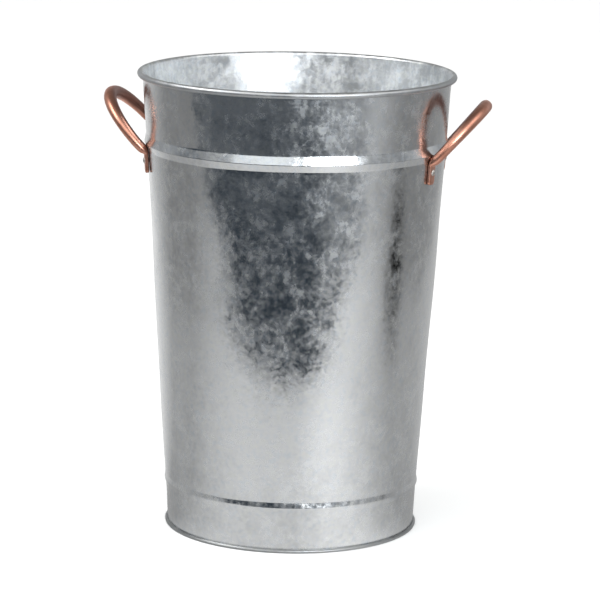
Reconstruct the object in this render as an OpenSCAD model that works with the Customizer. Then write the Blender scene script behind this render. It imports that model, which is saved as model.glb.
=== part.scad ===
// Tall galvanised florist bucket with two fixed copper tube handles.
// Origin: centre of the base, on the surface that the bucket stands on. +Z is up.
// The handles stand out along +X (right) and -X (left), and -Y is the front.

/* [Body] */
// Height from the base to the centre of the rim roll
rim_centre_z = 383; // [372:1:396]
// Outside radius of the wall at the rim
wall_top_r = 128.5; // [124:0.5:133]
// Outside radius of the wall at the base
wall_base_r = 104.4; // [100:0.2:108]
// Thickness of the galvanised sheet
sheet_t = 0.6; // [0.5:0.05:0.7]
// Outside radius of the rolled rim's section
rim_roll_r = 2.55; // [2.4:0.05:2.8]
// Outside radius of the base hem's section
hem_roll_r = 1.5; // [1.4:0.05:1.7]

/* [Ribs] */
// Lower edge of the raised rib under the rim
rib_low_z = 319.5; // [318:0.5:321]
// Crest of the raised rib
rib_crest_z = 327; // [325:0.5:329]
// Upper edge of the raised rib
rib_high_z = 335.5; // [333:0.5:338]
// How far the raised rib stands out
rib_rise = 1.8; // [1.2:0.1:2.0]
// Centre of the locking bead near the base
bead_z = 38.5; // [36:0.5:40]
// Height of the locking bead
bead_h = 8; // [6:0.5:9]
// How far the locking bead stands out
bead_rise = 1; // [0.6:0.1:1.4]

/* [Side seam] */
// Width of the folded side seam, which runs down the wall under the left handle
seam_w = 6; // [5:0.5:8]
// How far the folded seam stands out from the wall
seam_rise = 1.1; // [0.8:0.1:1.4]

/* [Bottom] */
// Height of the floor of the bucket above the surface it stands on
floor_z = 35; // [33:0.5:36]
// Height of the pan's flange above the floor
flange_h = 11; // [10:0.5:14]

/* [Handles] */
// Outside diameter of the copper tube
tube_d = 10.6; // [9.5:0.1:11]
// Radius of the loop, on the tube's centre line
loop_r = 43; // [41:0.5:44]
// Tilt of the loop above the horizontal
loop_tilt = 48.8; // [46:0.2:51]
// Distance of the loop's centre from the bucket's axis
loop_centre_x = 129.2; // [128.5:0.1:131]
// Height of the loop's centre
loop_centre_z = 329.4; // [328.5:0.1:331]
// Angle round the bucket from the middle of a handle to each flattened end
tab_angle = 18.8; // [18.2:0.1:19.4]
// Width of a flattened end
tab_w = 11; // [10:0.5:12.5]
// Thickness of a flattened end
tab_t = 2.6; // [2.2:0.1:3.2]
// Lower end of a flattened end
tab_low_z = 302; // [300:0.5:304]
// Upper end of the flat part, where the tube bends away from the wall
tab_high_z = 318; // [316:0.5:319]

/* [Rivets] */
// Height of the rivets
rivet_z = 312; // [309:0.5:313]
// Radius of a rivet's shank
shank_r = 1.6; // [1.4:0.1:1.9]
// Radius of a rivet's round head
head_r = 2.8; // [2.5:0.1:3.4]
// Height of a rivet's round head
head_h = 1.6; // [1.3:0.1:2]
// Radius of the backing washer inside the bucket
washer_r = 4.5; // [4:0.1:5.5]
// Thickness of the backing washer
washer_t = 0.9; // [0.7:0.1:1.2]

/* [Hidden] */
$fn = 96;
fit_gap = 0.05;              // working clearance between pieces that nest
foot_cut = 0.2;              // flat ground under the hem, where the bucket rests
roll_slit_angle = 52;        // opening of the rim and hem rolls, beside the wall
cover = 1;                   // extra length that makes a cut go right through
cone_sides = 720;            // sides of the cones that small pieces are fitted to
wire_r = rim_roll_r - sheet_t - fit_gap;
rim_roll_x = wall_top_r - sheet_t + rim_roll_r;
hem_roll_x = wall_base_r - sheet_t + hem_roll_r;
hem_centre_z = hem_roll_r - foot_cut;
wall_lean = atan((wall_top_r - wall_base_r) / rim_centre_z);
flat_end_angle = 3;          // how far the round tube runs on past half a turn
end_step = 0.04;             // the bend starts this much outside the round tube, so it closes round it
seam_low_z = 4;
seam_high_z = rim_centre_z - rim_roll_r - 1;
tail_r = 2.6;                // formed tail of a rivet, inside the bucket
tail_h = 1.3;
hole_r = shank_r + fit_gap;
corner_r = 3;                // bend between the floor and its flange

zinc = [0.72, 0.74, 0.76];
zinc_dark = [0.55, 0.57, 0.60];
solder = [0.62, 0.63, 0.65];
copper = [0.72, 0.45, 0.36];
plated = [0.78, 0.75, 0.71];

// Outside radius of the plain wall at height z
function wall_r(z) = wall_base_r + (wall_top_r - wall_base_r) * z / rim_centre_z;

// Smooth raised bump from low to high, with its crest at crest
function bump(z, low, crest, high, rise) =
    z <= low || z >= high ? 0
    : z < crest ? rise * (1 - cos(180 * (z - low) / (crest - low))) / 2
    : rise * (1 + cos(180 * (z - crest) / (high - crest))) / 2;

// Outside radius of the wall with its rib and its bead
function outer_r(z) = wall_r(z)
    + bump(z, rib_low_z, rib_crest_z, rib_high_z, rib_rise)
    + bump(z, bead_z - bead_h / 2, bead_z, bead_z + bead_h / 2, bead_rise);

// Heights that the outline passes through: fine over the rib and the bead
function heights(low, high, steps) = [for (i = [0:steps]) low + (high - low) * i / steps];
bead_heights = heights(bead_z - bead_h / 2, bead_z + bead_h / 2, 10);
rib_heights = heights(rib_low_z, rib_high_z, 14);

// Closed outline between two offsets from the wall's outside face
function band(zs, inner, outer) = concat(
    [for (z = zs) [outer_r(z) + outer, z]],
    [for (i = [len(zs) - 1:-1:0]) [outer_r(zs[i]) + inner, zs[i]]]);

// Section of a roll of sheet, left open between the wall and the sheet's edge
module roll_section(r, low_angle, high_angle) {
    difference() {
        circle(r = r);
        circle(r = r - sheet_t);
        polygon([[0, 0],
                 [2 * r * cos(low_angle), 2 * r * sin(low_angle)],
                 [2 * r * cos(high_angle), 2 * r * sin(high_angle)]]);
    }
}

module shell_section() {
    polygon(band(concat([hem_centre_z], bead_heights, rib_heights, [rim_centre_z]), -sheet_t, 0));
    translate([rim_roll_x, rim_centre_z])
        roll_section(rim_roll_r, 180, 180 + roll_slit_angle);
    difference() {
        translate([hem_roll_x, hem_centre_z])
            roll_section(hem_roll_r, 180 - roll_slit_angle, 180);
        translate([wall_base_r - 10, -10]) square([20, 10]);
    }
}

// Places children on the wall at a height, with +Z along the wall's outward normal
module on_wall(angle, z) {
    rotate([0, 0, angle]) translate([wall_r(z), 0, z]) rotate([0, 90 + wall_lean, 0]) children();
}

// The cone of the wall, moved outwards by an offset
module wall_cone(offset_r, low, high) {
    translate([0, 0, low])
        cylinder(r1 = wall_r(low) + offset_r, r2 = wall_r(high) + offset_r, h = high - low, $fn = cone_sides);
}

module body_shell() {
    color(zinc) difference() {
        union() {
            rotate_extrude($fn = 180) shell_section();
            rotate([0, 0, 180 - seam_w / 2 / wall_r(rim_centre_z / 2) * 180 / PI])
                rotate_extrude(angle = seam_w / wall_r(rim_centre_z / 2) * 180 / PI, $fn = 180)
                    polygon(band(concat([seam_low_z], bead_heights, rib_heights, [seam_high_z]),
                                 -sheet_t / 2, seam_rise));
        }
        for (side = [0, 180], end = [-tab_angle, tab_angle])
            on_wall(side + end, rivet_z)
                translate([0, 0, -3]) cylinder(r = hole_r, h = 6, $fn = 32);
    }
}

module rim_wire() {
    color(zinc_dark) rotate_extrude($fn = 180) translate([rim_roll_x, rim_centre_z]) circle(r = wire_r);
}

// Inside face of the wall, where the pan lies against it
function pan_heights(top) = concat([floor_z + corner_r],
    [for (z = bead_heights) if (z > floor_z + corner_r) z], [top]);

module bottom_pan() {
    face = -sheet_t - fit_gap;
    top = floor_z + flange_h;
    zs = pan_heights(top);
    edge_r = outer_r(floor_z + corner_r) + face;
    color(zinc) rotate_extrude($fn = 180) union() {
        polygon(band(zs, face - sheet_t, face));
        translate([0, floor_z - sheet_t]) square([edge_r - corner_r, sheet_t]);
        translate([edge_r - corner_r, floor_z + corner_r - sheet_t]) difference() {
            circle(r = corner_r);
            circle(r = corner_r - sheet_t);
            translate([-2 * corner_r, -2 * corner_r]) square([2 * corner_r, 4 * corner_r]);
            translate([-corner_r, 0]) square([3 * corner_r, 2 * corner_r]);
        }
        translate([edge_r - sheet_t, floor_z + corner_r - sheet_t]) square([sheet_t, sheet_t]);
    }
}

// Solder run into the corner between the flange's edge and the wall
module bottom_seal() {
    low = floor_z + flange_h;
    inner = wall_r(low) - sheet_t;
    color(solder) rotate_extrude($fn = 180)
        polygon([[inner, low],
                 [wall_r(low + 3) - sheet_t, low + 3],
                 [inner - 0.4, low + 0.9],
                 [inner - sheet_t - fit_gap, low]]);
}

// The round part of the tube: half a turn, and a little more at each end
module loop_arc() {
    rotate([0, 0, -90 - flat_end_angle])
        rotate_extrude(angle = 180 + 2 * flat_end_angle, $fn = 96)
            translate([loop_r, 0]) circle(r = tube_d / 2);
}

// Places children in the plane of the loop: +X leads away from the bucket, +Y along the wall
module in_loop_plane() {
    translate([loop_centre_x, 0, loop_centre_z]) rotate([0, -loop_tilt, 0]) children();
}

// Outline of a flattened end, seen square on: +X leads down the wall
module tab_outline() {
    up = rivet_z - tab_high_z;
    down = rivet_z - tab_low_z;
    r = 2.5;
    translate([up, -tab_w / 2]) square([down - up - r, tab_w]);
    translate([up, -tab_w / 2 + r]) square([down - up, tab_w - 2 * r]);
    for (y = [-1, 1]) translate([down - r, y * (tab_w / 2 - r)]) circle(r = r);
}

module flattened_end(angle) {
    end_turn = 90 + flat_end_angle;
    turn = angle > 0 ? end_turn : -end_turn;
    intersection() {
        on_wall(angle, rivet_z) translate([0, 0, -5]) linear_extrude(15) tab_outline();
        difference() {
            wall_cone(tab_t, tab_low_z - 10, tab_high_z + 10);
            wall_cone(0, tab_low_z - 10 - cover, tab_high_z + 10 + cover);
        }
    }
    hull() {
        in_loop_plane() rotate([0, 0, turn]) translate([loop_r, 0, 0]) rotate([90, 0, 0])
            cylinder(r = tube_d / 2 + end_step, h = 0.5, center = true, $fn = 32);
        on_wall(angle, tab_high_z - 1) translate([-0.5, -tab_w / 2, 0.2]) cube([1.5, tab_w, tab_t - 0.3]);
    }
}

module handle() {
    difference() {
        union() {
            in_loop_plane() loop_arc();
            flattened_end(-tab_angle);
            flattened_end(tab_angle);
        }
        for (end = [-tab_angle, tab_angle])
            on_wall(end, rivet_z) translate([0, 0, -10]) cylinder(r = hole_r, h = 30, $fn = 32);
    }
}

module right_handle() { color(copper) handle(); }
module left_handle() { color(copper) rotate([0, 0, 180]) handle(); }

// A rivet: round head on the flattened end, shank, and the formed tail on the washer
module rivet(angle) {
    dome_r = (head_r * head_r + head_h * head_h) / (2 * head_h);
    tail_z = -sheet_t - washer_t - tail_h;
    color(plated) union() {
        on_wall(angle, rivet_z) translate([0, 0, tail_z]) cylinder(r = shank_r, h = tab_t - tail_z, $fn = 32);
        on_wall(angle, rivet_z) translate([0, 0, tail_z]) cylinder(r = tail_r, h = tail_h, $fn = 32);
        difference() {
            on_wall(angle, rivet_z) translate([0, 0, tab_t]) intersection() {
                translate([0, 0, head_h - dome_r]) sphere(r = dome_r, $fn = 48);
                translate([0, 0, -0.3]) cylinder(r = head_r, h = head_h + cover, $fn = 32);
            }
            wall_cone(tab_t, tab_low_z, tab_high_z);
        }
    }
}

module washer(angle) {
    color(zinc) difference() {
        intersection() {
            on_wall(angle, rivet_z) translate([0, 0, -sheet_t - washer_t]) cylinder(r = washer_r, h = washer_t + 1);
            wall_cone(-sheet_t, tab_low_z, tab_high_z);
        }
        on_wall(angle, rivet_z) translate([0, 0, -10]) cylinder(r = hole_r, h = 20, $fn = 32);
    }
}

module right_front_rivet() { rivet(-tab_angle); }
module right_rear_rivet() { rivet(tab_angle); }
module left_front_rivet() { rivet(180 + tab_angle); }
module left_rear_rivet() { rivet(180 - tab_angle); }
module right_front_washer() { washer(-tab_angle); }
module right_rear_washer() { washer(tab_angle); }
module left_front_washer() { washer(180 + tab_angle); }
module left_rear_washer() { washer(180 - tab_angle); }

body_shell();
rim_wire();
bottom_pan();
bottom_seal();
right_handle();
left_handle();
right_front_rivet();
right_rear_rivet();
left_front_rivet();
left_rear_rivet();
right_front_washer();
right_rear_washer();
left_front_washer();
left_rear_washer();
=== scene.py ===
"""Galvanised florist bucket with copper handles: looks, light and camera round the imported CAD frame."""

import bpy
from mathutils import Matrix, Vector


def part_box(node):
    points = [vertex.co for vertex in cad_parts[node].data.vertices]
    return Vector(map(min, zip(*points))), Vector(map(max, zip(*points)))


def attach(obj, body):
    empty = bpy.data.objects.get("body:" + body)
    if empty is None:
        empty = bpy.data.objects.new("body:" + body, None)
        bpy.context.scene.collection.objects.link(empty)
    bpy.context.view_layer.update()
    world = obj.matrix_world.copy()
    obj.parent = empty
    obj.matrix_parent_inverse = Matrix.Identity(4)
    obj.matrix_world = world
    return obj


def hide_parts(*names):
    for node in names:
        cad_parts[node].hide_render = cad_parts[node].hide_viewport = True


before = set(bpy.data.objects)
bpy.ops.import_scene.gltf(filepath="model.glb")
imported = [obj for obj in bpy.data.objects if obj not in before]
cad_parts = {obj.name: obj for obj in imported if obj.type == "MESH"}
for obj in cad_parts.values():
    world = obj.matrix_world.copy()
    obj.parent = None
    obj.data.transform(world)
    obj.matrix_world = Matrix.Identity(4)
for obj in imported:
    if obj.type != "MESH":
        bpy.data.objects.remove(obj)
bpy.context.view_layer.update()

import math
import random

import bmesh
import bpy
from mathutils import Euler, Matrix, Vector

BODY = "root"
MM = 0.001

# ---------------------------------------------------------------- sizes, in metres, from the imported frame
shell_low, shell_high = (Vector(c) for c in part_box("body_shell"))
SHEET = 0.6 * MM
RIM_R = (shell_high.y - shell_low.y) / 2          # outside of the rolled rim
ROLL_R = 2.55 * MM                                # outside radius of the rim roll's section
HEM_R = 1.5 * MM                                  # outside radius of the base hem's section
FOOT_FLAT = 0.2 * MM                              # how much of the hem is worn flat underneath
RIM_Z = shell_high.z - ROLL_R                     # centre of the rim roll
HEM_Z = HEM_R - FOOT_FLAT
WALL_LOW_Z = HEM_Z + 1 * MM                       # the wall runs from here, above the hem's roll,
WALL_HIGH_Z = RIM_Z - 1 * MM                      # to here, under the rim's roll
WALL_TOP_R = RIM_R - 2 * ROLL_R + SHEET
BASE_TO_TOP = 104.4 / 128.5                       # taper of the wall, as one radius over the other
WALL_BASE_R = WALL_TOP_R * BASE_TO_TOP
SLOPE = (WALL_TOP_R - WALL_BASE_R) / RIM_Z
LEAN = math.atan(SLOPE)

# foot and top are the shares of each slope that its soft foot and its crest take up
RIB = dict(low=319.8 * MM, crest=326.2 * MM, high=334.4 * MM, rise=1.9 * MM, foot=0.20, top=0.02)
BEAD = dict(low=34.3 * MM, crest=38.2 * MM, high=43.6 * MM, rise=1.0 * MM, foot=0.12, top=0.12)
CREST_STEP = 0.12 * MM            # the rib's crest turns over within this much each side
SEAM_W = 6 * MM
SEAM_RISE = 1.1 * MM
SEAM_ANGLE = math.pi              # the side seam runs down the wall under the left handle
FIT = 0.05 * MM                   # working clearance between pieces that nest
DENT_ROOM = 0.22 * MM             # extra room between the pan and the uneven wall

right_low, right_high = (Vector(c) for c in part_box("right_handle"))
TUBE_R = 5.3 * MM
LOOP_R = (right_high.y - right_low.y) / 2 - TUBE_R
LOOP_TILT = math.radians(48.8)
LOOP_X = right_high.x - TUBE_R - LOOP_R * math.cos(LOOP_TILT)
LOOP_Z = right_high.z - TUBE_R - LOOP_R * math.sin(LOOP_TILT)
TAB_LOW_Z = right_low.z
TAB_HIGH_Z = 318 * MM
TAB_ANGLE = math.radians(18.8)
TAB_W = 10 * MM
TAB_T = 3.4 * MM


def wall_r(z):
    """Outside radius of the plain wall."""
    return WALL_BASE_R + SLOPE * z


def ramp_up(t, foot, top):
    """Height 0..1 over t 0..1: an even slope that starts softly over foot and ends softly over top."""
    steep = 1 / (1 - (foot + top) / 2)
    if t < foot:
        return steep * t * t / (2 * foot)
    if t > 1 - top:
        return 1 - steep * (1 - t) ** 2 / (2 * top)
    return steep * (t - foot / 2)


def bump(z, low, crest, high, rise, foot, top):
    """Raised ring from low to high, with its crest in between."""
    if z <= low or z >= high:
        return 0.0
    t = (z - low) / (crest - low) if z < crest else (high - z) / (high - crest)
    return rise * ramp_up(t, foot, top)


def outer_r(z):
    """Outside radius of the wall with its rib and bead."""
    return wall_r(z) + bump(z, **RIB) + bump(z, **BEAD)


def smooth(x, low, high):
    """0 below low, 1 above high, with an even S between them."""
    t = min(1.0, max(0.0, (x - low) / (high - low)))
    return t * t * (3 - 2 * t)


# ---------------------------------------------------------------- meshes
def new_piece(name, verts, faces, material, node):
    """A smooth-shaded piece that rides the bucket's body and stands in for one CAD node."""
    mesh = bpy.data.meshes.new(name)
    mesh.from_pydata([tuple(v) for v in verts], [], faces)
    mesh.validate()
    bm = bmesh.new()
    bm.from_mesh(mesh)
    bmesh.ops.recalc_face_normals(bm, faces=bm.faces)
    bm.to_mesh(mesh)
    bm.free()
    mesh.polygons.foreach_set("use_smooth", [True] * len(mesh.polygons))
    piece = bpy.data.objects.new(name, mesh)
    bpy.context.scene.collection.objects.link(piece)
    mesh.materials.append(material)
    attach(piece, BODY)
    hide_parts(node)
    return piece


def grid_faces(rows, columns, close_rows, close_columns):
    """Quads over a grid of rows x columns vertices."""
    faces = []
    for i in range(rows if close_rows else rows - 1):
        for j in range(columns if close_columns else columns - 1):
            a = i * columns + j
            b = i * columns + (j + 1) % columns
            c = ((i + 1) % rows) * columns + (j + 1) % columns
            d = ((i + 1) % rows) * columns + j
            faces.append((a, b, c, d))
    return faces


def capped_faces(rows, sides):
    """Quads round a tube of rings, with a flat face on each end."""
    faces = grid_faces(rows, sides, False, True)
    faces.append(tuple(range(sides)))
    faces.append(tuple(reversed(range((rows - 1) * sides, rows * sides))))
    return faces


def offset_line(points, distance):
    """The open line of (r, z) points, moved sideways by distance."""
    out = []
    for i, p in enumerate(points):
        before = points[max(0, i - 1)]
        after = points[min(len(points) - 1, i + 1)]
        along = (Vector(after) - Vector(before)).normalized()
        out.append((p[0] + along.y * distance, p[1] - along.x * distance))
    return out


def even(low, high, steps):
    """steps + 1 values from low to high, evenly spaced."""
    return [low + (high - low) * i / steps for i in range(steps + 1)]


class Waves:
    """Unevenness of rolled sheet: a sum of long waves with seeded phases, in metres."""

    def __init__(self, seed, height, count=14):
        rng = random.Random(seed)
        self.terms = []
        for _ in range(count):
            turns = rng.randint(1, 7)
            length = rng.uniform(0.09, 0.40)
            phase = rng.uniform(0, 2 * math.pi)
            size = height * rng.uniform(0.4, 1.0) / math.sqrt(count) / (0.6 + 0.25 * turns)
            self.terms.append((turns, 2 * math.pi / length, phase, size))

    def at(self, angle, z):
        """Height of the unevenness at an angle round the bucket and a height up it."""
        return sum(size * math.sin(turns * angle + rate * z + phase)
                   for turns, rate, phase, size in self.terms)


dents = Waves(seed=7, height=0.55 * MM)


def sheet_line():
    """Middle of the sheet in section, from the hem's free edge up the wall to the rim's free edge."""
    half = SHEET / 2
    line = []

    # the hem, from its free edge: rolled outwards, and pressed flat where it stands
    hem_x = WALL_BASE_R - SHEET + HEM_R
    hem_arc = HEM_R - half
    ground = half * 0.75
    for a in even(math.radians(126), math.radians(-180), 22):
        line.append((hem_x + hem_arc * math.cos(a), max(HEM_Z + hem_arc * math.sin(a), ground)))

    # the wall, with more rows on the bead and the rib
    heights = even(WALL_LOW_Z, BEAD["low"], 6)
    heights += even(BEAD["low"], BEAD["high"], 16)[1:]
    heights += even(BEAD["high"], RIB["low"], 40)[1:]
    heights += even(RIB["low"], RIB["crest"] - CREST_STEP, 18)[1:] + [RIB["crest"]]
    heights += even(RIB["crest"] + CREST_STEP, RIB["high"], 24)
    heights += even(RIB["high"], WALL_HIGH_Z, 9)[1:]
    line += [(outer_r(z) - half, z) for z in heights]

    # the rim rolls outwards and down round its wire
    rim_x = WALL_TOP_R - SHEET + ROLL_R
    rim_arc = ROLL_R - half
    for a in even(math.radians(180), math.radians(-128), 28):
        line.append((rim_x + rim_arc * math.cos(a), RIM_Z + rim_arc * math.sin(a)))
    return line


def seam_distance(angle):
    """Signed distance round the wall from the side seam, in metres at the wall."""
    off = (angle - SEAM_ANGLE + math.pi) % (2 * math.pi) - math.pi
    return off * wall_r(RIM_Z / 2)


def seam_rise(angle, z):
    """Folded side seam: a flat band with one crisp fold and one softer side."""
    d = seam_distance(angle)
    soft_side = smooth(d, -SEAM_W / 2 - 0.7 * MM, -SEAM_W / 2)
    crisp_side = 1 - smooth(d, SEAM_W / 2, SEAM_W / 2 + 0.25 * MM)
    lower_end = smooth(z, HEM_Z + 1.5 * MM, HEM_Z + 3 * MM)
    upper_end = 1 - smooth(z, RIM_Z - 4.5 * MM, RIM_Z - 3 * MM)
    return SEAM_RISE * soft_side * crisp_side * lower_end * upper_end


def wall_angles():
    """Even columns round the wall, with extra ones where the seam's edges stand."""
    columns = 264
    span = SEAM_W / wall_r(RIM_Z / 2)
    angles = [2 * math.pi * i / columns for i in range(columns)]
    angles = [a for a in angles if abs(a - SEAM_ANGLE) > span]
    return sorted(angles + even(SEAM_ANGLE - span, SEAM_ANGLE + span, 32))


def make_shell(material):
    """Wall, rib, bead, rim and hem in one sheet, with the side seam raised on its outside."""
    middle = sheet_line()
    outside = offset_line(middle, SHEET / 2)
    inside = offset_line(middle, -SHEET / 2)
    loop = outside + inside[::-1]
    has_seam = [WALL_LOW_Z <= z <= WALL_HIGH_Z for _, z in middle] + [False] * len(inside)
    angles = wall_angles()
    verts = []
    for (r, z), seam_here in zip(loop, has_seam):
        # the dents fade out towards the hem and the rim
        fade = smooth(z, 4 * MM, 30 * MM) * (1 - smooth(z, RIM_Z - 20 * MM, RIM_Z - 2 * MM))
        for a in angles:
            radius = r + dents.at(a, z) * fade
            if seam_here:
                radius += seam_rise(a, z)
            verts.append((radius * math.cos(a), radius * math.sin(a), z))
    faces = grid_faces(len(loop), len(angles), True, True)
    return new_piece("bucket_wall", verts, faces, material, "body_shell")


def lathe(line, steps):
    """Closed ring of the closed (r, z) line, turned round the bucket's axis."""
    angles = even(0, 2 * math.pi, steps)[:-1]
    verts = [(r * math.cos(a), r * math.sin(a), z) for r, z in line for a in angles]
    return verts, grid_faces(len(line), steps, True, True)


def make_rim_wire(material):
    """The steel wire that the rim is rolled round."""
    low, high = (Vector(c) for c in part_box("rim_wire"))
    wire_r = (high.z - low.z) / 2
    centre = Vector((high.y - wire_r, (high.z + low.z) / 2))
    line = [(centre.x + wire_r * math.cos(t), centre.y + wire_r * math.sin(t))
            for t in even(0, 2 * math.pi, 16)[:-1]]
    verts, faces = lathe(line, 180)
    return new_piece("rim_reinforcing_wire", verts, faces, material, "rim_wire")


def make_pan(material):
    """Pressed bottom: a flat disc with two shallow stiffening rings and a turned-up flange."""
    low, high = (Vector(c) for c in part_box("bottom_pan"))
    floor = low.z + SHEET
    corner = 3 * MM            # bend between the floor and the flange
    rings = (55 * MM, 88 * MM)
    press = 0.28 * MM          # height of the pressed rings
    edge = wall_r(floor + corner) - SHEET - FIT - DENT_ROOM
    top_line = []
    for r in even(0.4 * MM, edge - corner, 70):
        top_line.append((r, floor + press * sum(ring_press(r, ring) for ring in rings)))
    bend = corner - SHEET
    for a in even(math.radians(-84), 0, 10):
        top_line.append((edge - corner + bend * math.cos(a), floor + bend + bend * math.sin(a)))
    for z in even(floor + corner, high.z - 0.2 * MM, 14):
        top_line.append((outer_r(z) - 2 * SHEET - FIT - DENT_ROOM, z))
    under = offset_line(top_line, SHEET)
    line = top_line + under[::-1]
    steps = 240
    verts, faces = lathe(line, steps)
    piece = new_piece("bottom_pan_pressed", verts, faces, material, "bottom_pan")
    cap_centre(piece, steps, len(line))
    return piece


def ring_press(r, at):
    """Section of a shallow pressed ring 6 mm wide, 0 to 1 high."""
    d = abs(r - at) / (3 * MM)
    return 0.0 if d >= 1 else (1 + math.cos(math.pi * d)) / 2


def cap_centre(piece, steps, rows):
    """Closes the pan's small centre hole: joins the two innermost rings to a middle point each."""
    bm = bmesh.new()
    bm.from_mesh(piece.data)
    bm.verts.ensure_lookup_table()
    upper = bm.verts[0:steps]
    lower = bm.verts[(rows - 1) * steps:rows * steps]
    bm.faces.ensure_lookup_table()
    inner = [f for f in bm.faces
             if all(v.index < steps or v.index >= (rows - 1) * steps for v in f.verts)]
    bmesh.ops.delete(bm, geom=inner, context="FACES")
    for ring in (upper, lower):
        centre = bm.verts.new(sum((v.co for v in ring), Vector()) / steps)
        for j in range(steps):
            bm.faces.new((ring[j], ring[(j + 1) % steps], centre))
    bmesh.ops.recalc_face_normals(bm, faces=bm.faces)
    for f in bm.faces:
        f.smooth = True
    bm.to_mesh(piece.data)
    bm.free()


def make_seal(material):
    """Solder run: a lumpy fillet on the flange's top edge."""
    low, high = (Vector(c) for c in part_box("bottom_seal"))
    lumps = Waves(seed=31, height=0.4 * MM, count=10)
    half_wide = 0.5 * MM
    half_tall = 1.0 * MM
    centre_r = wall_r(low.z) - SHEET - 0.55 * MM
    centre_z = low.z + 1.1 * MM
    steps = 300
    sides = 10
    verts = []
    for j in range(steps):
        a = 2 * math.pi * j / steps
        swell = 1 + 0.25 * math.sin(37 * a + 2 * math.sin(5 * a)) + lumps.at(3 * a, low.z) / MM
        for i in range(sides):
            t = 2 * math.pi * i / sides
            r = centre_r + half_wide * math.cos(t)
            z = centre_z + half_tall * math.sin(t) * max(0.6, min(1.3, swell))
            verts.append((r * math.cos(a), r * math.sin(a), z))
    faces = grid_faces(steps, sides, True, True)
    return new_piece("solder_run", verts, faces, material, "bottom_seal")


# ---------------------------------------------------------------- handles
def tab_frame(angle, z, stand_off):
    """A point on the wall's outside and the directions out of the wall, round it and up it."""
    r = outer_r(z) + stand_off
    out = Vector((math.cos(LEAN) * math.cos(angle), math.cos(LEAN) * math.sin(angle), -math.sin(LEAN)))
    round_wall = Vector((-math.sin(angle), math.cos(angle), 0))
    up = round_wall.cross(out) * -1
    return Vector((r * math.cos(angle), r * math.sin(angle), z)), out, round_wall, up


def loop_point(turn):
    """Point and direction on the loop's centre line; turn 0 is the -Y side, pi the +Y side."""
    away = LOOP_R * math.sin(turn)
    across = -LOOP_R * math.cos(turn)
    tilt_out = Vector((math.cos(LOOP_TILT), 0, math.sin(LOOP_TILT)))
    point = Vector((LOOP_X, 0, LOOP_Z)) + tilt_out * away + Vector((0, across, 0))
    along = (tilt_out * math.cos(turn) + Vector((0, 1, 0)) * math.sin(turn)).normalized()
    return point, along


def bezier(p0, p1, p2, p3, t):
    """Point and direction at t on a cubic curve."""
    u = 1 - t
    point = p0 * u ** 3 + p1 * 3 * u * u * t + p2 * 3 * u * t * t + p3 * t ** 3
    along = (p1 - p0) * 3 * u * u + (p2 - p1) * 6 * u * t + (p3 - p2) * 3 * t * t
    return point, along.normalized()


ROUND_TURN = math.radians(2)         # where the bend meets the loop, past half a turn
FLAT_STEPS, BEND_STEPS, LOOP_STEPS = 14, 30, 90


def flatness(run):
    """1 at the tab's top, quickly less in the bend, then easing to 0 before the top of the loop."""
    return 1 - 0.65 * smooth(run, 0.5 * MM, 9 * MM) - 0.35 * smooth(run, 0, 75 * MM)


def handle_stations():
    """Stations from tab to tab: point, direction, width axis, flatness. The loop's have no width axis."""
    start, _, round_wall, up = tab_frame(-TAB_ANGLE, TAB_LOW_Z, TAB_T / 2)
    high, _, _, _ = tab_frame(-TAB_ANGLE, TAB_HIGH_Z - 1.5 * MM, TAB_T / 2)
    loop_start, loop_along = loop_point(-ROUND_TURN)
    half = []
    for i in range(FLAT_STEPS):
        t = i / FLAT_STEPS
        half.append((start.lerp(high, t), up, round_wall, 1.0))
    reach = (loop_start - high).length
    for i in range(BEND_STEPS):
        t = i / BEND_STEPS
        point, along = bezier(high, high + up * reach * 0.26, loop_start - loop_along * reach * 0.62,
                              loop_start, t)
        flat = flatness(t * reach)
        wide = round_wall.lerp(Vector((0, 1, 0)), smooth(t, 0.1, 0.9)).normalized()
        half.append((point, along, wide, flat))
    stations = list(half)
    for i in range(LOOP_STEPS + 1):
        turn = -ROUND_TURN + (math.pi + 2 * ROUND_TURN) * i / LOOP_STEPS
        point, along = loop_point(turn)
        past = min(turn, math.pi - turn) + ROUND_TURN
        stations.append((point, along, None, flatness(reach + past * LOOP_R)))
    for point, along, wide, flat in reversed(half):
        flip = Vector((1, -1, 1))
        stations.append((point * flip, -(along * flip), wide * Vector((-1, 1, 1)), flat))
    return stations


def section(flat, sides):
    """Cross-section of the tube: round at flat 0, a thin bar with round edges at flat 1."""
    power = 2 + 0.7 * smooth(flat, 0.4, 1.0)
    bulge = 0.3 * MM * math.sin(math.pi * flat) ** 2
    half_w = TUBE_R + (TAB_W / 2 - TUBE_R) * smooth(flat, 0.0, 1.0) + bulge
    half_t = TUBE_R + (TAB_T / 2 - TUBE_R) * flat
    points = []
    for i in range(sides):
        t = 2 * math.pi * i / sides
        c, s = math.cos(t), math.sin(t)
        points.append((half_w * math.copysign(abs(c) ** (2 / power), c),
                       half_t * math.copysign(abs(s) ** (2 / power), s)))
    return points


END_EASE = (0.72, 0.90, 0.97, 0.995)       # the last stations draw in, so each tab has a rounded end
UV_PER_METRE = 10


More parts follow.
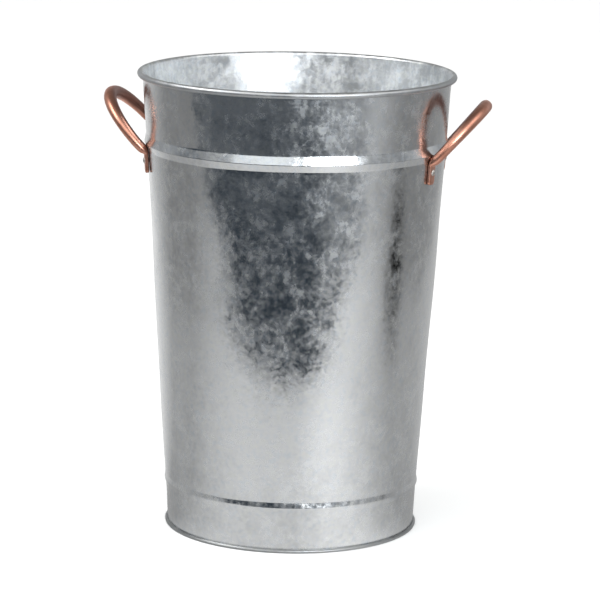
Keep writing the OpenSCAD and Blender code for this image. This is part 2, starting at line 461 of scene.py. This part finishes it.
def make_handle(name, node, side_turn, material, seed):
    """One tube swept through its stations, turned to its side of the bucket, with lengthwise UVs."""
    sides = 40
    stations = handle_stations()
    verts, runs = [], []
    run = 0.0
    wide = stations[0][2]
    wear = Waves(seed, 0.10 * MM, count=6)
    for k, (point, along, hint, flat) in enumerate(stations):
        if k:
            run += (point - stations[k - 1][0]).length
        if hint is not None:
            wide = hint if wide.dot(hint) > 0 else -hint
        wide = (wide - along * wide.dot(along)).normalized()
        thick = along.cross(wide).normalized()
        from_end = min(k, len(stations) - 1 - k)
        ease = END_EASE[from_end] if from_end < len(END_EASE) else 1.0
        for i, (w, t) in enumerate(section(flat, sides)):
            ripple = 1 + wear.at(2 * math.pi * i / sides, run * 2) / TUBE_R * (1 - flat)
            verts.append(point + wide * w * ease * ripple + thick * t * (0.6 + 0.4 * ease) * ripple)
        runs.append(run)
    to_side = Matrix.Rotation(side_turn, 3, "Z")
    faces = capped_faces(len(stations), sides)
    piece = new_piece(name, [to_side @ v for v in verts], faces, material, node)
    layer = piece.data.uv_layers.new(name="Tube")
    for poly in piece.data.polygons:
        spots = {loop: divmod(piece.data.loops[loop].vertex_index, sides) for loop in poly.loop_indices}
        closes = any(side == sides - 1 for _, side in spots.values())
        for loop, (row, side) in spots.items():
            column = sides if side == 0 and closes else side
            layer.data[loop].uv = (column / sides, runs[row] * UV_PER_METRE)
    return piece


# ---------------------------------------------------------------- rivets and washers
RIVET_Z = 312 * MM
HEAD_R = 2.8 * MM
HEAD_H = 1.3 * MM
SHANK_R = 1.6 * MM
TAIL_R = 2.6 * MM
TAIL_H = 1.3 * MM
WASHER_R = 4.5 * MM
WASHER_T = 0.9 * MM
SMALL_SIDES = 48


def turned(outline, angle, sides, dished):
    """(radius, height) points turned round a rivet's axis. A dished piece follows the wall's curve."""
    base, out, round_wall, up = tab_frame(angle, RIVET_Z, 0)
    verts = []
    for r, h in outline:
        for a in even(0, 2 * math.pi, sides)[:-1]:
            across, along = r * math.cos(a), r * math.sin(a)
            sag = across * across / (2 * wall_r(RIVET_Z)) if dished else 0
            verts.append(base + out * (h - sag) + round_wall * across + up * along)
    return verts


def make_rivet(place, angle, material):
    """Domed head on the tab, shank, and the formed tail inside the bucket."""
    dome = (HEAD_R ** 2 + HEAD_H ** 2) / (2 * HEAD_H)
    top = math.asin(HEAD_R / dome)
    face = TAB_T - 0.02 * MM
    inner = -SHEET - WASHER_T
    tail_edge = 0.35 * MM
    outline = [(dome * math.sin(a), face + HEAD_H - dome + dome * math.cos(a)) for a in even(0.06, top, 14)]
    outline += [(HEAD_R, face), (SHANK_R + 0.1 * MM, face), (SHANK_R, face - 0.1 * MM),
                (SHANK_R, inner), (TAIL_R * 0.96, inner), (TAIL_R, inner - 0.2 * MM)]
    outline += [(TAIL_R * math.cos(a), inner - tail_edge - (TAIL_H - tail_edge) * math.sin(a) ** 1.3)
                for a in even(0.25, math.pi / 2 - 0.12, 8)]
    verts = turned(outline, angle, SMALL_SIDES, dished=False)
    faces = capped_faces(len(outline), SMALL_SIDES)
    return new_piece(place + "_rivet_formed", verts, faces, material, place + "_rivet")


def make_washer(place, angle, material):
    """Backing washer, bent to the wall, with eased outer edges."""
    edge = 0.18 * MM
    hole = SHANK_R + 0.15 * MM
    outer, inner = -SHEET - 0.02 * MM, -SHEET - WASHER_T
    outline = [(hole, outer), (WASHER_R - edge, outer), (WASHER_R, outer - edge),
               (WASHER_R, inner + edge), (WASHER_R - edge, inner), (hole, inner)]
    verts = turned(outline, angle, SMALL_SIDES, dished=True)
    faces = grid_faces(len(outline), SMALL_SIDES, True, True)
    return new_piece(place + "_washer_pressed", verts, faces, material, place + "_washer")


# ---------------------------------------------------------------- materials
class Graph:
    """Short names for building one material's nodes."""

    def __init__(self, name):
        self.material = bpy.data.materials.new(name)
        self.material.use_nodes = True
        self.tree = self.material.node_tree
        self.tree.nodes.clear()
        self.out = self.tree.nodes.new("ShaderNodeOutputMaterial")
        self.shader = self.node("ShaderNodeBsdfPrincipled")
        self.link(self.shader.outputs[0], self.out.inputs["Surface"])

    def node(self, kind, inputs=None, **settings):
        n = self.tree.nodes.new(kind)
        for key, value in settings.items():
            setattr(n, key, value)
        for key, value in (inputs or {}).items():
            self.feed(n.inputs[key], value)
        return n

    def link(self, a, b):
        self.tree.links.new(a, b)

    def feed(self, socket, value):
        """Links another node's output to the socket, or sets a plain value on it."""
        if isinstance(value, bpy.types.NodeSocket):
            self.link(value, socket)
        else:
            socket.default_value = value

    def place(self):
        """Where on the part, in metres."""
        return self.node("ShaderNodeTexCoord").outputs["Object"]

    def stretched(self, vector, scale):
        return self.node("ShaderNodeMapping", {"Vector": vector, "Scale": scale}).outputs[0]

    def noise(self, vector, scale, detail=3.0, rough=0.5):
        return self.node("ShaderNodeTexNoise", {"Vector": vector, "Scale": scale, "Detail": detail,
                                                "Roughness": rough})

    def cells(self, vector, scale):
        return self.node("ShaderNodeTexVoronoi", {"Vector": vector, "Scale": scale})

    def math(self, kind, a, b=0.0):
        return self.node("ShaderNodeMath", {0: a, 1: b}, operation=kind).outputs[0]

    def add(self, *values):
        total = values[0]
        for value in values[1:]:
            total = self.math("ADD", total, value)
        return total

    def times(self, *values):
        product = values[0]
        for value in values[1:]:
            product = self.math("MULTIPLY", product, value)
        return product

    def remap(self, value, low, high, to_low, to_high):
        return self.node("ShaderNodeMapRange", {"Value": value, "From Min": low, "From Max": high,
                                                "To Min": to_low, "To Max": to_high}).outputs[0]

    def mix(self, factor, a, b, kind="MIX"):
        """Colours a and b mixed; inputs 6 and 7 and output 2 are the node's colour sockets."""
        inputs = {0: factor, 6: a, 7: b}
        return self.node("ShaderNodeMix", inputs, data_type="RGBA", blend_type=kind).outputs[2]

    def ramp(self, value, stops):
        n = self.node("ShaderNodeValToRGB", {"Fac": value})
        marks = n.color_ramp.elements
        while len(marks) < len(stops):
            marks.new(0.5)
        for mark, (at, colour) in zip(marks, stops):
            mark.position = at
            mark.color = colour
        return n.outputs[0]

    def vector(self, kind, a, b):
        return self.node("ShaderNodeVectorMath", {0: a, 1: b}, operation=kind).outputs[0]

    def scaled(self, vector, factor):
        return self.node("ShaderNodeVectorMath", {0: vector, "Scale": factor}, operation="SCALE").outputs[0]

    def unit(self, vector):
        return self.node("ShaderNodeVectorMath", {0: vector}, operation="NORMALIZE").outputs[0]

    def dot(self, a, b):
        return self.node("ShaderNodeVectorMath", {0: a, 1: b}, operation="DOT_PRODUCT").outputs["Value"]

    def axes(self, vector):
        return self.node("ShaderNodeSeparateXYZ", {0: vector}).outputs

    def grey(self, level):
        return self.node("ShaderNodeCombineColor", {0: level, 1: level, 2: level}).outputs[0]

    def bumped(self, strength, distance, height, normal=None):
        inputs = {"Strength": strength, "Distance": distance, "Height": height}
        if normal is not None:
            inputs["Normal"] = normal
        return self.node("ShaderNodeBump", inputs).outputs[0]

    def set(self, **sockets):
        """Feeds the shader's sockets, with _ for each space in a name."""
        for key, value in sockets.items():
            self.feed(self.shader.inputs[key.replace("_", " ")], value)


class WorldGraph(Graph):
    """The same short names for the world's nodes."""

    def __init__(self, world):
        world.use_nodes = True
        self.tree = world.node_tree
        self.tree.nodes.clear()
        self.out = self.tree.nodes.new("ShaderNodeOutputWorld")


MIDDLE = (0.5, 0.5, 0.5)              # a noise colour's average


def zinc_material(name, tone=0.74, dull=0.0, crystal=360.0):
    """Galvanised sheet: soft drifts of fine zinc crystals that differ a little in tone, sheen and tilt."""
    g = Graph(name)
    place = g.place()

    def shift(vector, scale, amount):
        """The vector, moved about by noise."""
        wander = g.vector("SUBTRACT", g.noise(vector, scale, 2.0, 0.6).outputs["Color"], MIDDLE)
        return g.vector("ADD", vector, g.scaled(wander, amount))

    # crystals: wide drifts, finer feathers, and a little of each grain's own tone
    bent = shift(place, 55.0, 0.008)
    drift = g.noise(bent, 62.0, 3.0, 0.5)
    feather = g.noise(bent, 250.0, 3.0, 0.55)
    grains = g.cells(shift(bent, 300.0, 0.003), crystal).outputs["Color"]
    grain = g.node("ShaderNodeSeparateColor", {0: grains}).outputs[0]
    level = g.add(g.times(drift.outputs["Fac"], 0.57), g.times(feather.outputs["Fac"], 0.35),
                  g.times(grain, 0.08))

    # where on the sheet: its inner side, the foot of the hem, darker with dirt and with painted shade, and
    # the worked metal of the rim's roll
    x, y, up = g.axes(place)
    outward = g.node("ShaderNodeCombineXYZ", {0: x, 1: y}).outputs[0]
    reach = g.node("ShaderNodeVectorMath", {0: outward}, operation="LENGTH").outputs["Value"]
    normal = g.node("ShaderNodeNewGeometry").outputs["Normal"]
    inside = g.remap(g.dot(normal, outward), 0.02, -0.02, 0.0, 1.0)
    # the hem's foot is darker: partly dirt, partly painted shade under the hem's roll; the dirt also dulls
    # its sheen
    foot_dirt_and_shade = g.times(g.remap(up, 2.2 * MM, 4.5 * MM, 1.0, 0.0),
                    g.remap(drift.outputs["Fac"], 0.2, 0.5, 0.7, 1.0))
    rolled = g.remap(reach, WALL_TOP_R + 0.2 * MM, WALL_TOP_R + 1.2 * MM, 0.0, 1.0)

    # colour: grey with cool and warm crystals, cloudier inside
    clouds = g.times(inside, g.remap(level, 0.40, 0.60, -0.14, 0.16))
    shade = g.times(g.remap(level, 0.36, 0.64, tone * 0.90, tone * 1.05), g.add(clouds, 1.0),
                    g.remap(foot_dirt_and_shade, 0.0, 1.0, 1.0, 0.45), g.remap(rolled, 0.0, 1.0, 1.0, 0.68))
    grey = g.grey(shade)
    hue = g.ramp(feather.outputs["Color"], [(0.35, (0.86, 0.94, 1.0, 1)), (0.5, (0.96, 0.98, 1.0, 1)),
                                            (0.6, (0.96, 1.0, 0.98, 1)), (0.7, (1.0, 0.98, 0.96, 1))])
    g.set(Base_Color=g.mix(0.7, grey, g.mix(1.0, grey, hue, "MULTIPLY")), Metallic=1.0)

    # sheen: each crystal its own, duller inside, on the roll and at the foot
    wide_cloud = g.noise(place, 9.0, 2.0, 0.5).outputs["Fac"]
    g.set(Roughness=g.add(g.remap(level, 0.37, 0.63, 0.11 + dull, 0.30 + dull), g.times(inside, 0.17),
                          g.times(foot_dirt_and_shade, 0.2), g.times(rolled, 0.22),
                          g.remap(wide_cloud, 0.35, 0.65, -0.02, 0.03)))

    # tilt: the crystals lean a little each way, so that each reflects a slightly different place
    tilted = normal
    leans = ((grains, 0.010), (feather.outputs["Color"], 0.05), (drift.outputs["Color"], 0.03))
    for colour, amount in leans:
        tilted = g.vector("ADD", tilted, g.scaled(g.vector("SUBTRACT", colour, MIDDLE), amount))
    ripple = g.noise(place, 420.0, 2.0, 0.5).outputs["Fac"]
    g.set(Normal=g.bumped(0.05, 0.4 * MM, ripple, g.unit(tilted)))
    return g.material


def copper_material():
    """Drawn copper tube: warm pink metal with faint draw lines, soft toning and small scuffs."""
    g = Graph("copper_tube_toned")
    place = g.place()
    tube = g.node("ShaderNodeUVMap", uv_map="Tube").outputs[0]
    toning = g.noise(place, 38.0, 4.0, 0.6).outputs["Fac"]
    fine = g.noise(place, 320.0, 3.0, 0.6).outputs["Fac"]
    lines = g.noise(g.stretched(tube, (60.0, 2.2, 1.0)), 3.0, 3.0, 0.6).outputs["Fac"]
    colour = g.ramp(toning, [(0.32, (0.49, 0.220, 0.150, 1)), (0.50, (0.68, 0.330, 0.235, 1)),
                             (0.70, (0.80, 0.440, 0.340, 1))])
    colour = g.mix(g.remap(fine, 0.52, 0.75, 0.0, 0.45), colour, (0.41, 0.190, 0.135, 1))

    # painted shade: the loop's side towards the bucket is painted darker; the tabs aren't
    x, y, up = g.axes(place)
    outward = g.unit(g.node("ShaderNodeCombineXYZ", {0: x, 1: y}).outputs[0])
    facing = g.dot(g.node("ShaderNodeNewGeometry").outputs["Normal"], outward)
    bucket_side_shade = g.times(g.remap(facing, 0.0, -0.6, 0.0, 0.75),
                   g.remap(up, TAB_HIGH_Z, TAB_HIGH_Z + 12 * MM, 0.0, 1.0))
    g.set(Base_Color=g.mix(bucket_side_shade, colour, (0.21, 0.105, 0.085, 1)), Metallic=1.0)
    g.set(Roughness=g.add(g.remap(toning, 0.3, 0.7, 0.40, 0.28), g.remap(lines, 0.3, 0.7, -0.03, 0.05)))
    g.set(Normal=g.bumped(0.12, 0.3 * MM, g.add(g.times(lines, 0.7), g.times(fine, 0.3))))
    return g.material


def small_metal(name, colour, rough, grain=900.0):
    """Rivets, washers, wire and solder: metal with faint mottling, worn sheen and a fine surface."""
    g = Graph(name)
    place = g.place()
    mottle = g.noise(place, grain * 0.25, 3.0, 0.6).outputs["Fac"]
    fine = g.noise(place, grain, 2.0, 0.6).outputs["Fac"]
    dark = tuple(c * 0.78 for c in colour) + (1,)
    g.set(Base_Color=g.mix(g.remap(mottle, 0.35, 0.65, 0.0, 1.0), dark, tuple(colour) + (1,)), Metallic=1.0)
    g.set(Roughness=g.remap(mottle, 0.3, 0.7, rough + 0.08, rough - 0.04))
    g.set(Normal=g.bumped(0.15, 0.2 * MM, fine))
    return g.material


def floor_material():
    """Pale floor. To reflections and bounced light it shines with painted light and shade: the light and
    dark places of a lit table top.
    """
    g = Graph("studio_floor")
    place = g.place()
    tone = g.noise(place, 1.5, 2.0).outputs["Fac"]
    g.set(Base_Color=g.ramp(tone, [(0.0, (0.90, 0.90, 0.90, 1)), (1.0, (0.93, 0.93, 0.925, 1))]),
          Roughness=0.9)

    # directions from the bucket: ahead is 1 straight in front, and aside is 1 straight to the right
    x, y, _ = g.axes(place)
    reach = g.math("SQRT", g.add(g.times(x, x), g.times(y, y)))
    ahead = g.math("DIVIDE", g.times(y, -1.0), reach)
    aside = g.math("DIVIDE", x, reach)

    # painted pools of light: in front, behind on the left, and a spot in front on the right
    front = g.remap(ahead, 0.10, 0.80, 0.44, 0.80)
    behind = g.times(g.remap(ahead, -0.42, -0.90, 0.0, 1.0), g.remap(aside, -0.3, 0.3, 0.46, 0.12))
    painted_light_patch = g.times(g.remap(aside, 0.05, 0.40, 0.0, 1.0), g.remap(aside, 0.95, 0.50, 0.0, 1.0),
                    g.remap(ahead, 0.3, 0.7, 0.0, 1.0), 0.26)

    # painted shade: the light falling off far out to the sides, a painted contact shadow near the bucket,
    # and a dark band on the right
    far = g.remap(g.math("ABSOLUTE", x), 0.68, 0.92, 0.0, 0.17)
    painted_contact_shadow = g.remap(reach, 0.30, 0.16, 0.0, 0.06)
    painted_dark_strip = g.times(g.remap(x, 0.56, 0.70, 0.0, 1.0), g.remap(x, 1.30, 1.05, 0.0, 1.0),
                    g.remap(y, -0.26, -0.17, 0.0, 1.0), g.remap(y, 0.06, -0.05, 0.0, 1.0), 0.31)

    level = g.math("SUBTRACT", g.add(front, behind, painted_light_patch), g.add(far, painted_contact_shadow, painted_dark_strip))
    # every ray but the camera's sees the floor emit this painted light and shade; the camera sees the plain
    # pale floor
    painted_floor_glow = g.node("ShaderNodeEmission", {"Color": g.grey(level)})
    rays = g.node("ShaderNodeLightPath")
    mix = g.node("ShaderNodeMixShader", {0: rays.outputs["Is Camera Ray"], 1: painted_floor_glow.outputs[0],
                                         2: g.shader.outputs[0]})
    g.link(mix.outputs[0], g.out.inputs["Surface"])
    return g.material


# ---------------------------------------------------------------- pieces
zinc = zinc_material("galvanised_spangle")
zinc_floor = zinc_material("galvanised_pan_spangle", tone=0.70, dull=0.10)
copper = copper_material()
make_shell(zinc)
make_rim_wire(small_metal("drawn_wire", (0.42, 0.43, 0.45), 0.4))
make_pan(zinc_floor)
make_seal(small_metal("soft_solder", (0.56, 0.57, 0.59), 0.45, 500.0))
make_handle("right_copper_handle", "right_handle", 0.0, copper, 3)
make_handle("left_copper_handle", "left_handle", math.pi, copper, 5)
# the rivets' plated steel is tinted warm: a painted reflection of the copper tabs they sit in
plated = small_metal("plated_steel", (0.66, 0.62, 0.58), 0.34)
washer_zinc = small_metal("washer_zinc", (0.62, 0.64, 0.66), 0.36)
PLACES = {"right_front": -TAB_ANGLE, "right_rear": TAB_ANGLE,
          "left_front": math.pi + TAB_ANGLE, "left_rear": math.pi - TAB_ANGLE}
for place_name, place_angle in PLACES.items():
    make_rivet(place_name, place_angle, plated)
    make_washer(place_name, place_angle, washer_zinc)

# ---------------------------------------------------------------- camera
CAMERA_TURN = math.radians(9.3)      # the camera stands this far round towards the right handle
CAMERA_PITCH = 0.2042                # radians below the horizon
CAMERA_ROLL = 0.0165                 # radians; turns the bucket clockwise in the frame
CAMERA_DISTANCE = 20.1 * RIM_R
CAMERA_AIM_Z = 1.4305 * RIM_R
CAMERA_LENS = 190.1                  # mm on a 36 mm sensor
AIM_ASIDE = 0.00200                  # radians that the lens looks to the right of the bucket's axis
AIM_UP = 0.00037                     # radians that it looks above CAMERA_AIM_Z


def make_camera():
    """Long lens at the photo's viewpoint."""
    forward = Vector((0, math.cos(CAMERA_PITCH), -math.sin(CAMERA_PITCH)))
    right = Vector((1, 0, 0))
    up = right.cross(forward)
    c, s = math.cos(CAMERA_ROLL), math.sin(CAMERA_ROLL)
    right, up = right * c + up * s, up * c - right * s
    place = Vector((0, 0, CAMERA_AIM_Z)) - forward * CAMERA_DISTANCE
    aim = (forward + right * AIM_ASIDE + up * AIM_UP).normalized()
    right = (right - aim * right.dot(aim)).normalized()
    up = right.cross(aim)
    turn = Matrix.Rotation(CAMERA_TURN, 4, "Z")
    pose = Matrix(((right.x, up.x, -aim.x, place.x), (right.y, up.y, -aim.y, place.y),
                   (right.z, up.z, -aim.z, place.z), (0, 0, 0, 1)))
    data = bpy.data.cameras.new("photo_camera")
    data.lens = CAMERA_LENS
    data.sensor_width = 36
    data.clip_start = 0.05
    data.clip_end = 60
    camera = bpy.data.objects.new("photo_camera", data)
    camera.matrix_world = turn @ pose
    bpy.context.scene.collection.objects.link(camera)
    bpy.context.scene.camera = camera


# ---------------------------------------------------------------- floor and light
FLOOR_LEFT_FRONT = -0.15             # the front edge's y at the floor's left and right ends
FLOOR_RIGHT_FRONT = -0.88
FLOOR_BACK = 7.0
FLOOR_SIDE = 3.2


def make_floor():
    """The floor ends in a slanted edge in front; past it the metal reflects the dark under the table."""
    mesh = bpy.data.meshes.new("studio_floor")
    corners = [(-FLOOR_SIDE, FLOOR_LEFT_FRONT, 0), (FLOOR_SIDE, FLOOR_RIGHT_FRONT, 0),
               (FLOOR_SIDE, FLOOR_BACK, 0), (-FLOOR_SIDE, FLOOR_BACK, 0)]
    mesh.from_pydata(corners, [], [(0, 1, 2, 3)])
    floor = bpy.data.objects.new("studio_floor", mesh)
    floor.rotation_euler = Euler((0, 0, CAMERA_TURN))
    mesh.materials.append(floor_material())
    bpy.context.scene.collection.objects.link(floor)


def softbox(name, azimuth, elevation, distance, width, height, power, colour=(1, 1, 1)):
    """Area light that faces the bucket. Azimuth 0 is the camera's side, and positive is to its right."""
    target = Vector((0, 0, 0.22))
    a, e = math.radians(azimuth) + CAMERA_TURN, math.radians(elevation)
    way = Vector((math.sin(a) * math.cos(e), -math.cos(a) * math.cos(e), math.sin(e)))
    data = bpy.data.lights.new(name, "AREA")
    data.shape = "RECTANGLE"
    data.size, data.size_y = width, height
    data.energy = power
    data.color = colour
    lamp = bpy.data.objects.new(name, data)
    lamp.location = target + way * distance
    lamp.rotation_mode = "QUATERNION"
    lamp.rotation_quaternion = (-way).to_track_quat("-Z", "Y")
    bpy.context.scene.collection.objects.link(lamp)


def make_world():
    """Studio round the bucket: dark below the table, bright above, and white to the camera."""
    world = bpy.data.worlds.new("studio")
    bpy.context.scene.world = world
    g = WorldGraph(world)
    turn = g.node("ShaderNodeMapping", {"Vector": g.node("ShaderNodeTexCoord").outputs["Generated"],
                                        "Rotation": (0, 0, -CAMERA_TURN)}).outputs[0]
    x, y, up = g.axes(turn)
    rays = g.node("ShaderNodeLightPath")

    # the room from straight down, 0, to straight up, 1, dimmed high up behind for the metal only
    sky = g.ramp(g.remap(up, -1.0, 1.0, 0.0, 1.0), [
        (0.00, (0.025, 0.034, 0.046, 1)), (0.545, (0.042, 0.054, 0.068, 1)), (0.58, (0.36, 0.37, 0.38, 1)),
        (0.65, (0.60, 0.62, 0.64, 1)), (0.72, (1.9, 1.9, 1.88, 1)), (0.86, (1.7, 1.7, 1.68, 1)),
        (0.95, (0.38, 0.38, 0.38, 1)), (1.0, (0.25, 0.25, 0.25, 1))])
    dim = g.times(g.remap(y, -0.05, 0.30, 0.0, 0.85), g.remap(up, 0.25, 0.40, 0.0, 1.0),
                  rays.outputs["Is Glossy Ray"])
    sky = g.scaled(sky, g.math("SUBTRACT", 1.0, dim))

    # lighter places low down: front right, far right, behind, and under the floor's front edge
    front_right = g.times(g.remap(x, 0.22, 0.50, 0.0, 1.0), g.remap(y, -0.2, -0.5, 0.0, 1.0),
                          g.remap(up, -0.06, 0.0, 1.0, 0.0), 0.16)
    far_right = g.times(g.remap(x, 0.70, 0.85, 0.0, 0.26), g.remap(up, 0.14, 0.08, 0.0, 1.0))
    backdrop = g.times(g.remap(y, 0.0, 0.3, 0.0, 0.32), g.remap(up, 0.25, 0.15, 0.0, 1.0))
    low_front = g.times(g.remap(up, -0.30, -0.24, 0.0, 0.095), g.remap(up, -0.12, -0.06, 1.0, 0.0),
                        g.remap(y, 0.0, -0.3, 0.0, 1.0))
    room = g.vector("ADD", sky, g.grey(g.add(front_right, far_right, backdrop, low_front)))
    seen = g.mix(rays.outputs["Is Camera Ray"], room, (1, 1, 1, 1))
    g.link(g.node("ShaderNodeBackground", {"Color": seen}).outputs[0], g.out.inputs["Surface"])


make_camera()
make_floor()
make_world()
softbox("right_front_softbox", azimuth=25, elevation=14, distance=2.2, width=1.2, height=0.6, power=26,
        colour=(0.95, 0.99, 1.03))
softbox("left_front_softbox", azimuth=-24, elevation=15, distance=2.2, width=1.75, height=0.3, power=1.4,
        colour=(0.94, 0.99, 1.03))
softbox("left_softbox", azimuth=-80, elevation=42, distance=1.8, width=0.9, height=0.7, power=12)
bpy.context.scene.view_settings.view_transform = "Standard"
